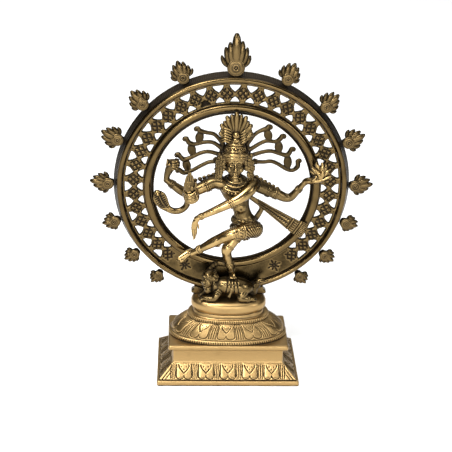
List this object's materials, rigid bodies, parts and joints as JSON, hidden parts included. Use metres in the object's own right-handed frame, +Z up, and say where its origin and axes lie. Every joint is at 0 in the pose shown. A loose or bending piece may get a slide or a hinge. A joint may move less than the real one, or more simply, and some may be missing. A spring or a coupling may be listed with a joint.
{
  "type": "nataraja statue",
  "caption": "Brass dancing figure in a ring of flames, standing on a dwarf, over an oval lotus and a stepped rectangular plinth with a hollow underside.",
  "frame": {"origin": "centre of the plinth's foot, on the surface it stands on", "axes": "+Z up, the front faces -Y, +X to the right of a person who looks at the front"},
  "size_m": [0.2388, 0.0746, 0.3058],
  "materials": {
    "satin_brass": "satin, rubbed bright, dark in the engraving",
    "aged_brass": "antiqued, bright on the beads and near black in the recesses",
    "gilded_brass": "rubbed, antiqued between the tongues",
    "figure_brass": "polished on the high spots, antiqued in the folds",
    "dark_brass": "heavily antiqued",
    "steel": "plain"
  },
  "bodies": {
    "root": {"plinth": "satin_brass", "lotus_pedestal": "satin_brass", "oval_pad": "satin_brass", "tie_bolt": "steel", "tie_washer": "steel", "ring_screws": "steel", "ring_outer_hoop": "aged_brass", "ring_inner_hoop": "aged_brass", "ring_fretwork": "aged_brass", "ring_foot": "aged_brass", "flame_1": "gilded_brass", "flame_2": "gilded_brass", "flame_3": "gilded_brass", "flame_4": "gilded_brass", "flame_5": "gilded_brass", "flame_6": "gilded_brass", "flame_7": "gilded_brass", "flame_8": "gilded_brass", "flame_9": "gilded_brass", "flame_10": "gilded_brass", "flame_11": "gilded_brass", "flame_12": "gilded_brass", "flame_13": "gilded_brass", "flame_14": "gilded_brass", "flame_15": "gilded_brass", "dwarf_body": "dark_brass", "dwarf_head": "dark_brass", "dwarf_arms": "dark_brass", "dwarf_legs": "dark_brass", "torso": "figure_brass", "loincloth": "figure_brass", "standing_leg": "figure_brass", "raised_leg": "figure_brass", "head": "figure_brass", "crown_band": "figure_brass", "crown_fan": "figure_brass", "earring_left": "figure_brass", "earring_right": "figure_brass", "hair_fan_left": "aged_brass", "hair_fan_right": "aged_brass", "necklace": "figure_brass", "shoulder_curls_left": "figure_brass", "shoulder_curls_right": "figure_brass", "front_right_arm": "figure_brass", "front_right_hand": "figure_brass", "back_right_arm": "figure_brass", "back_right_hand": "figure_brass", "hand_drum": "figure_brass", "front_left_arm": "figure_brass", "front_left_hand": "figure_brass", "back_left_arm": "figure_brass", "back_left_hand": "figure_brass", "hand_flame": "figure_brass", "cobra": "figure_brass", "sash": "figure_brass"}
  },
  "joints": []
}
